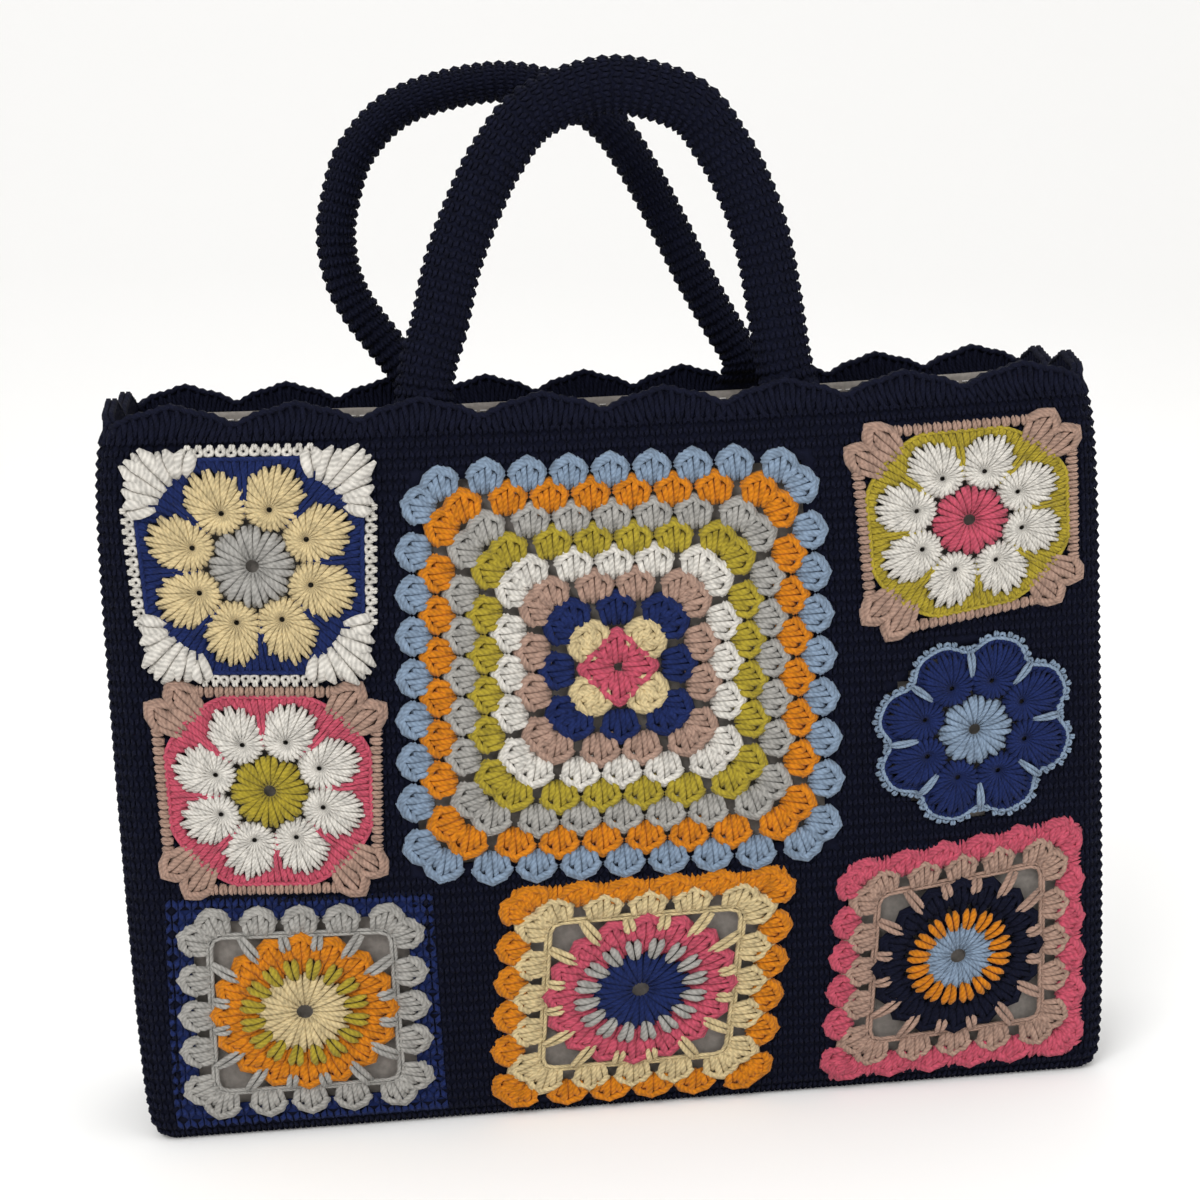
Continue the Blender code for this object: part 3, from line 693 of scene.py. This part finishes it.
OUTLINES = [GRANNY_OUTLINE] + [row[1] for row in FLOWERS] + [row[1] for row in SUNBURSTS]
for wall, (half_run, _, _, _) in WALLS.items():
    edge = half_run - CORNER_RADIUS + CORNER_RADIUS * math.pi / 4
    columns = round(2 * edge / STITCH_WIDE)
    rows = round(PANEL_UP / STITCH_TALL)
    wide = 2 * edge / columns
    tall = PANEL_UP / rows
    along, up = np.meshgrid((np.arange(columns) + 0.5) * wide - edge, (np.arange(rows) + 0.5) * tall)
    odd = np.where(np.arange(rows) % 2, -1.0, 1.0)[:, None] + np.zeros(columns)
    places = np.column_stack([along.ravel(), up.ravel()])
    free = np.ones(len(places), bool)
    layer_free = np.ones(len(places), bool)
    if wall == "front":
        for number, outline in enumerate(OUTLINES):
            corners = np.array(outline) * (BAG_WIDTH / 2, PANEL_UP)
            middle = corners.mean(axis=0)
            if 1 <= number <= 4:
                away = np.abs((places - middle) / (corners.max(axis=0) - corners.min(axis=0)) * 2)
                round_part = np.hypot(away[:, 0], away[:, 1])
                free &= round_part > 0.90
                layer_free &= round_part > 0.84
            else:
                free &= ~inside(middle + (corners - middle) * 0.985, places)
                layer_free &= ~inside(middle + (corners - middle) * 0.93, places)
    batches = [stitch_rows(places[free], odd.ravel()[free], wide, tall)]
    grid_along, grid_up = np.meshgrid(np.arange(columns + 1) * wide - edge, np.arange(rows + 1) * tall)
    skins = [np.stack([grid_along, grid_up, np.full(grid_along.shape, out)], axis=-1) for out in BACK_LAYER]
    batches.append(layer(skins[0], skins[1], layer_free.reshape(rows, columns)))
    node = {"front": "front_panel", "back": "back_panel", "left": "side_left", "right": "side_right"}[wall]
    item = piece(node + "_stitches", YARNS["navy"], batches,
                 lambda flat, wall=wall: on_wall(wall, flat))
    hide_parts(node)


# Bottom of the bag: the same navy cotton stitches over a closer layer, flat inside the turned-in feet of
# the walls, to which it is hooked all round.
HALF_LONG = BAG_WIDTH / 2 - FOOT_RADIUS - 0.0002
HALF_DEEP = BAG_DEPTH / 2 - FOOT_RADIUS - 0.0002
columns = round(2 * HALF_LONG / STITCH_WIDE)
rows = round(2 * HALF_DEEP / STITCH_TALL)
wide = 2 * HALF_LONG / columns
tall = 2 * HALF_DEEP / rows
along = (np.arange(columns) + 0.5) * wide - HALF_LONG
deep = (np.arange(rows) + 0.5) * tall - HALF_DEEP
along, deep = np.meshgrid(along, deep)
odd = np.where(np.arange(rows) % 2, -1.0, 1.0)[:, None] + np.zeros(columns)
middles = np.column_stack([along.ravel(), deep.ravel()])
batches = [stitch_rows(middles, odd.ravel(), wide, tall, lift=-0.0014)]
grid = np.meshgrid(np.arange(columns + 1) * wide - HALF_LONG, np.arange(rows + 1) * tall - HALF_DEEP)
skins = [np.stack([*grid, np.full(grid[0].shape, out)], axis=-1) for out in (-0.0014, -0.0030)]
batches.append(layer(skins[0], skins[1], np.ones((rows, columns), bool)))


def under_bag(points):
    """Places on the bottom, with its outer face turned down to the floor."""
    share = 1 + 0.5 * WIDTH_SWELL / (BAG_WIDTH / 2)
    return np.column_stack([points[:, 0] * share, points[:, 1], -points[:, 2]])


item = piece("base_stitches", YARNS["navy"], batches, under_bag)
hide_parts("base_panel")


# Rim: a shell edging of tall navy cotton stitches hooked round the mouth, whose tops rise and fall in
# scallops, with a line of loops along them.
# wall: scallops, then how far the rim stands over its height
SCALLOPS = {"front": (8, 0.0004), "back": (9, 0.0034), "left": (2, 0.0016), "right": (2, 0.0016)}
SCALLOP_RISE = 0.0075
POSTS_PER_SCALLOP = 12


def rim_height(share, count, lift):
    """Height of the rim's top edge over its dips, along a wall from 0 to 1."""
    wave = 0.5 - 0.5 * np.cos(2 * np.pi * share * count)
    small = 0.5 - 0.5 * np.cos(2 * np.pi * share * count * 3)
    return SCALLOP_RISE * wave**0.7 + 0.0012 * small + lift


for wall, (count, lift) in SCALLOPS.items():
    half_run = WALLS[wall][0]
    edge = half_run - CORNER_RADIUS + CORNER_RADIUS * math.pi / 4
    number = count * POSTS_PER_SCALLOP
    dip = BAG_HEIGHT - FOOT_RADIUS + FOOT_ARC
    share = np.linspace(0, 1, number + 1)
    crest = dip + rim_height(share, count, lift) - 0.0012
    low = np.full(number + 1, PANEL_UP - 0.002)
    skins = []
    for out in (-0.0008, -0.0024):
        rows = [np.column_stack([edge * (2 * share - 1), low + (crest - low) * t, np.full(number + 1, out)])
                for t in (0, 0.5, 1)]
        skins.append(np.array(rows))
    batches = [layer(skins[0], skins[1], np.ones((2, number), bool))]
    share = (np.arange(number) + 0.5) / number
    along = edge * (2 * share - 1)
    crest = dip + rim_height(share, count, lift)
    lean = np.sin(2 * np.pi * share * count) * -0.0014
    width = 2 * edge / number
    for out in (-0.0006, -0.0026):
        feet = np.column_stack([along - lean, np.full(number, PANEL_UP - 0.0030), np.full(number, out)])
        heads = np.column_stack([along + lean, crest - 0.0010, np.full(number, out)])
        batches.append(posts(feet, heads, width * 1.08, rise=0.0, taper=1.0, twist=0.8))
    share = np.linspace(0, 1, count * 24 + 1)
    for out, drop in ((-0.0002, 0.0010), (-0.0030, 0.0010)):
        wobble = 0.0004 * np.cos(2 * np.pi * share * number)
        top = dip + rim_height(share, count, lift) - drop + wobble
        line = np.column_stack([edge * (2 * share - 1), top, np.full(len(share), out)])
        batches.append(strands(line[None], 0.0016))
    item = piece(f"rim_{wall}_shells", YARNS["navy"], batches,
                 lambda flat, wall=wall: on_wall(wall, flat))
    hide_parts(f"rim_{wall}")


# Lining: a plain woven cotton bag dropped inside the crochet and sewn to it under the rim. Its top is folded
# in, with a seam stitched by machine along it.
HEM_TOP = BAG_HEIGHT - 0.0015 - FOOT_RADIUS + FOOT_ARC
HEM_DEEP = 0.016
TAB_REACH = 0.014
TAB_DEEP = 0.018
TAB_THICK = 0.0043
TABS = {"front": (-0.0815, 0.0874), "back": (-0.0832, 0.0777)}
LINING_INSET = 0.0036
SEAM_DROP = 0.0040
SEAM_THREAD = 0.00038


def cotton(name, colour):
    """Plain woven cotton: fine threads over and under, a little uneven."""
    material = bpy.data.materials.new(name)
    material.use_nodes = True
    nodes = material.node_tree.nodes
    links = material.node_tree.links
    shader = nodes["Principled BSDF"]
    shader.inputs["Roughness"].default_value = 0.9
    shader.inputs["Specular IOR Level"].default_value = 0.2
    place = nodes.new("ShaderNodeTexCoord")
    slub = nodes.new("ShaderNodeTexNoise")
    slub.inputs["Scale"].default_value = 420
    slub.inputs["Detail"].default_value = 5
    links.new(place.outputs["Object"], slub.inputs["Vector"])
    ramp = nodes.new("ShaderNodeValToRGB")
    ramp.color_ramp.elements[0].position = 0.3
    ramp.color_ramp.elements[0].color = (*[channel * 0.8 for channel in colour], 1)
    ramp.color_ramp.elements[1].position = 0.7
    ramp.color_ramp.elements[1].color = (*[channel * 1.1 for channel in colour], 1)
    links.new(slub.outputs["Fac"], ramp.inputs[0])
    links.new(ramp.outputs[0], shader.inputs["Base Color"])
    warp = nodes.new("ShaderNodeTexWave")
    warp.bands_direction = "Z"
    warp.inputs["Scale"].default_value = 700
    links.new(place.outputs["Object"], warp.inputs["Vector"])
    weft = nodes.new("ShaderNodeTexWave")
    weft.bands_direction = "X"
    weft.inputs["Scale"].default_value = 700
    links.new(place.outputs["Object"], weft.inputs["Vector"])
    crossing = nodes.new("ShaderNodeMath")
    crossing.operation = "MULTIPLY"
    links.new(warp.outputs["Fac"], crossing.inputs[0])
    links.new(weft.outputs["Fac"], crossing.inputs[1])
    bump = nodes.new("ShaderNodeBump")
    bump.inputs["Strength"].default_value = 0.3
    bump.inputs["Distance"].default_value = 0.0003
    links.new(crossing.outputs[0], bump.inputs["Height"])
    links.new(bump.outputs[0], shader.inputs["Normal"])
    return material


def lining_ring(up, extra):
    """One level of the lining all round the bag, as places of the walls in turn."""
    ring = []
    for wall, direction in (("front", 1), ("right", 1), ("back", -1), ("left", -1)):
        half_run = WALLS[wall][0]
        edge = half_run - CORNER_RADIUS + CORNER_RADIUS * math.pi / 4
        count = 90 if wall in TABS else 22
        along = np.linspace(-edge * direction, edge * direction, count, endpoint=False)
        standoff = np.zeros(count)
        for middle in TABS.get(wall, ()):
            beside = np.abs(along - middle) - TAB_REACH - 0.0012
            below = BAG_HEIGHT - FOOT_RADIUS + FOOT_ARC - TAB_DEEP - 0.0012 - up
            fade = np.maximum(np.maximum(beside, below), 0) / 0.014
            standoff = np.maximum(standoff, 1 - fade)
        wrinkle = 0.0007 * np.sin(along * 150 + up * 31) * np.sin(up * 60 + along * 17)
        wrinkle += 0.0005 * np.sin(along * 390 + up * 90)
        inset = LINING_INSET + extra + standoff * TAB_THICK + np.abs(wrinkle)
        ring.append(on_wall(wall, np.column_stack([along, np.full(count, up), -inset])))
    return np.concatenate(ring)


under_hem = np.linspace(0.0, HEM_TOP - HEM_DEEP - 0.002, 40)
levels = np.concatenate([under_hem, np.linspace(HEM_TOP - HEM_DEEP, HEM_TOP, 8)])
loops = [lining_ring(level, 0.0) for level in levels]
for level in levels[::-1]:
    folded = 0.0016 if level > HEM_TOP - HEM_DEEP - 0.001 else 0.0008
    loops.append(lining_ring(level, folded))
loops = np.array(loops)
count = loops.shape[1]
index = np.arange(loops.shape[0] * count).reshape(loops.shape[0], count)
beside = np.roll(index, -1, axis=1)
faces = np.stack([index[:-1], beside[:-1], beside[1:], index[1:]], axis=-1).reshape(-1, 4).tolist()
faces.append(index[0, ::-1].tolist())
faces.append(index[-1].tolist())
mesh = bpy.data.meshes.new("lining_cloth")
mesh.from_pydata(loops.reshape(-1, 3).tolist(), [], faces)
mesh.shade_smooth()
COTTON = cotton("lining_cotton", (0.250, 0.228, 0.208))
mesh.materials.append(COTTON)
lining = bpy.data.objects.new("lining_cloth", mesh)
bpy.context.scene.collection.objects.link(lining)
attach(lining, "root")
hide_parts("lining")

seam = lining_ring(HEM_TOP - SEAM_DROP, 0.0020)
ahead = np.roll(seam, -1, axis=0) - seam
seam_thread = yarn("seam_thread", (0.62, 0.60, 0.58), 0.8, 900)
seam_stitches = strands(np.stack([seam, seam + ahead * 0.62], axis=1), SEAM_THREAD)
piece("lining_seam", seam_thread, [seam_stitches], lambda flat: flat)


# Handles: two crocheted tubes of navy cotton stitches, stuffed firm. Their ends are flattened and sewn in
# between wall and lining.
HANDLE_SPREAD = 0.084
HANDLE_RISE = 0.150
HANDLE_BLEND = 0.018
HANDLE_LEAN = 0.006
HANDLES = {
    "handle_front": ("front", 0.026, 0.0185, (
        (-0.97, 0.04), (-0.93, 0.16), (-0.86, 0.27), (-0.77, 0.45), (-0.64, 0.62), (-0.49, 0.77),
        (-0.27, 0.90), (0.14, 0.965), (0.54, 0.90), (0.73, 0.765), (0.85, 0.625), (0.93, 0.47),
        (0.975, 0.30), (1.01, 0.13), (1.04, 0.04))),
    "handle_back": ("back", 0.0185, 0.026, (
        (-0.99, 0.04), (-1.09, 0.14), (-1.29, 0.30), (-1.38, 0.41), (-1.41, 0.53), (-1.38, 0.65),
        (-1.26, 0.82), (-0.97, 0.96), (-0.46, 1.02), (-0.07, 0.975), (0.19, 0.87), (0.37, 0.71),
        (0.52, 0.54), (0.66, 0.37), (0.81, 0.21), (0.91, 0.11), (0.925, 0.04))),
}


def handle_line(path):
    """Fine centre line of a handle on its wall, from tab to tab, at even steps."""
    rows = np.array(path)
    points = []
    for place in np.linspace(0, len(rows) - 1, 400):
        step = min(int(place), len(rows) - 2)
        t = place - step
        before, start, end = rows[max(step - 1, 0)], rows[step], rows[step + 1]
        after = rows[min(step + 2, len(rows) - 1)]
        bend = start * 2 + (end - before) * t + (before * 2 - start * 5 + end * 4 - after) * t**2
        points.append((bend + (start * 3 - before - end * 3 + after) * t**3) / 2)
    points = np.array(points) * (HANDLE_SPREAD, HANDLE_RISE) + (0, BAG_HEIGHT - FOOT_RADIUS + FOOT_ARC)
    tip = BAG_HEIGHT - TAB_DEEP - FOOT_RADIUS + FOOT_ARC
    points = np.concatenate([[[points[0, 0], tip]], points, [[points[-1, 0], tip]]])
    run = np.concatenate([[0], np.linalg.norm(np.diff(points, axis=0), axis=1).cumsum()])
    return points, run


def on_handle(name):
    """Way to put points, at a distance along, a turn round and a height over the skin, on a handle."""
    wall, width, thickness, path = HANDLES[name]
    points, run = handle_line(path)
    hem = BAG_HEIGHT - 0.0047 - FOOT_RADIUS + FOOT_ARC

    def place(flat):
        distance = np.clip(flat[:, 0], 0, run[-1])
        centre = np.column_stack([np.interp(distance, run, points[:, axis]) for axis in (0, 1)])
        near = np.clip(distance - 0.003, 0, run[-1])
        far = np.clip(distance + 0.003, 0, run[-1])
        heading = np.column_stack([
            np.interp(far, run, points[:, 0]) - np.interp(near, run, points[:, 0]),
            np.interp(far, run, points[:, 1]) - np.interp(near, run, points[:, 1]),
        ])
        heading /= np.linalg.norm(heading, axis=1, keepdims=True)
        across = np.column_stack([heading[:, 1], -heading[:, 0]])
        above = np.maximum(centre[:, 1] - hem, 0)
        share = np.minimum(above / HANDLE_BLEND, 1)
        full = share * share * (3 - 2 * share)
        half_width = (0.028 + (width - 0.028) * full) / 2
        half_thick = (0.004 + (thickness - 0.004) * full) / 2
        seat = 0.0033 + HANDLE_LEAN * above / HANDLE_RISE
        reach = flat[:, 2] * (0.25 + 0.75 * full)
        spot = centre + across * ((half_width + reach) * np.cos(flat[:, 1]))[:, None]
        inset = seat + half_thick + (half_thick + reach) * np.sin(flat[:, 1])
        return on_wall(wall, np.column_stack([spot, -inset]))

    return place, run[-1]


for name, (wall, width, thickness, path) in HANDLES.items():
    place, length = on_handle(name)
    around = 14
    count = round(length / 0.0050)
    step = length / count
    turn = 2 * np.pi * (np.arange(around) + 0.5) / around
    distance, turn = np.meshgrid((np.arange(count) + 0.5) * step, turn)
    distance, turn = distance.ravel(), turn.ravel()
    starts = []
    ends = []
    for side in (-1, 1):
        starts.append(np.column_stack([distance - step * 0.48, turn + side * np.pi / around * 0.88,
                                       np.full(len(turn), -0.0004)]))
        ends.append(np.column_stack([distance + step * 0.52, turn + side * np.pi / around * 0.14,
                                     np.full(len(turn), -0.0004)]))
    starts = np.concatenate(starts)
    ends = np.concatenate(ends)
    turn_scale = 0.0115
    shape = np.array([1.0, turn_scale, 1.0])
    corners, groups = spindles(starts * shape, ends * shape, 0.00135, 0.0013)
    steps = np.linspace(0, length, count + 1)
    grid_run, grid_turn = np.meshgrid(steps, 2 * np.pi * np.arange(24) / 24, indexing="ij")
    core = np.stack([grid_run, grid_turn * turn_scale, np.full(grid_run.shape, -0.0010)], axis=-1)
    index = np.arange(core.shape[0] * 24).reshape(core.shape[0], 24)
    beside = np.roll(index, -1, axis=1)
    quads = np.stack([index[:-1], beside[:-1], beside[1:], index[1:]], axis=-1).reshape(-1, 4)
    ends_caps = np.stack([index[0, ::-1], index[-1]])
    tube = (core.reshape(-1, 3), [(quads, np.zeros((len(quads), 4, 2))), (ends_caps, np.zeros((2, 24, 2)))])
    item = piece(name + "_stitches", YARNS["navy"], [(corners, groups), tube],
                 lambda flat, place=place: place(flat / shape))
    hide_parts(name)


# Floor, light and camera: a plain pale floor that runs on behind, soft light from a studio, and the
# camera where the photo was taken from.
floor_material = bpy.data.materials.new("floor")
floor_material.use_nodes = True
floor_shader = floor_material.node_tree.nodes["Principled BSDF"]
floor_shader.inputs["Base Color"].default_value = (0.92, 0.92, 0.92, 1)
floor_shader.inputs["Roughness"].default_value = 0.9
bend = np.linspace(0, np.pi / 2, 12)
curve = [(2.0 + 2.5 * math.sin(t), 2.4998 - 2.5 * math.cos(t)) for t in bend]
sweep = [(-9.0, -0.0002)] + curve + [(4.5, 9.0)]
floor_corners = [(x, y, z) for y, z in sweep for x in (-12.0, 12.0)]
floor_faces = [(2 * n, 2 * n + 1, 2 * n + 3, 2 * n + 2) for n in range(len(sweep) - 1)]
floor_mesh = bpy.data.meshes.new("floor")
floor_mesh.from_pydata(floor_corners, [], floor_faces)
floor_mesh.shade_smooth()
floor = bpy.data.objects.new("floor", floor_mesh)
bpy.context.scene.collection.objects.link(floor)
floor.data.materials.append(floor_material)

world = bpy.data.worlds.new("studio")
bpy.context.scene.world = world
world.use_nodes = True
world.node_tree.nodes["Background"].inputs["Color"].default_value = (1.0, 0.99, 0.97, 1)
world.node_tree.nodes["Background"].inputs["Strength"].default_value = 0.95
for lamp_name, place, power, size in (
    ("key", (-1.1, -1.9, 1.9), 34, 1.2),
    ("fill", (1.8, -1.5, 1.0), 12, 1.8),
    ("back", (0.3, 1.8, 1.9), 12, 1.6),
):
    lamp_data = bpy.data.lights.new(lamp_name, "AREA")
    lamp_data.energy = power
    lamp_data.size = size
    lamp = bpy.data.objects.new(lamp_name, lamp_data)
    lamp.location = place
    lamp.rotation_euler = (Vector((0, 0, 0.2)) - Vector(place)).to_track_quat("-Z", "Y").to_euler()
    bpy.context.scene.collection.objects.link(lamp)

azimuth = math.radians(-4.68)
elevation = math.radians(9.22)
roll = math.radians(-2.65)
back = Vector((
    math.sin(azimuth) * math.cos(elevation),
    -math.cos(azimuth) * math.cos(elevation),
    math.sin(elevation),
))
right = Vector((math.cos(azimuth), math.sin(azimuth), 0))
upward = right.cross(-back)
right_rolled = right * math.cos(roll) + upward * math.sin(roll)
up_rolled = upward * math.cos(roll) - right * math.sin(roll)
bpy.context.scene.view_settings.view_transform = "Standard"
camera_data = bpy.data.cameras.new("camera")
camera_data.lens = 65.2
distance = 1.0565
aim = Vector((-0.0015, 0, 0.2379))
camera_data.sensor_width = 36
camera = bpy.data.objects.new("camera", camera_data)
camera.matrix_world = Matrix((
    (right_rolled.x, up_rolled.x, back.x, back.x * distance + aim.x),
    (right_rolled.y, up_rolled.y, back.y, back.y * distance + aim.y),
    (right_rolled.z, up_rolled.z, back.z, back.z * distance + aim.z),
    (0, 0, 0, 1),
))
bpy.context.scene.collection.objects.link(camera)
bpy.context.scene.camera = camera
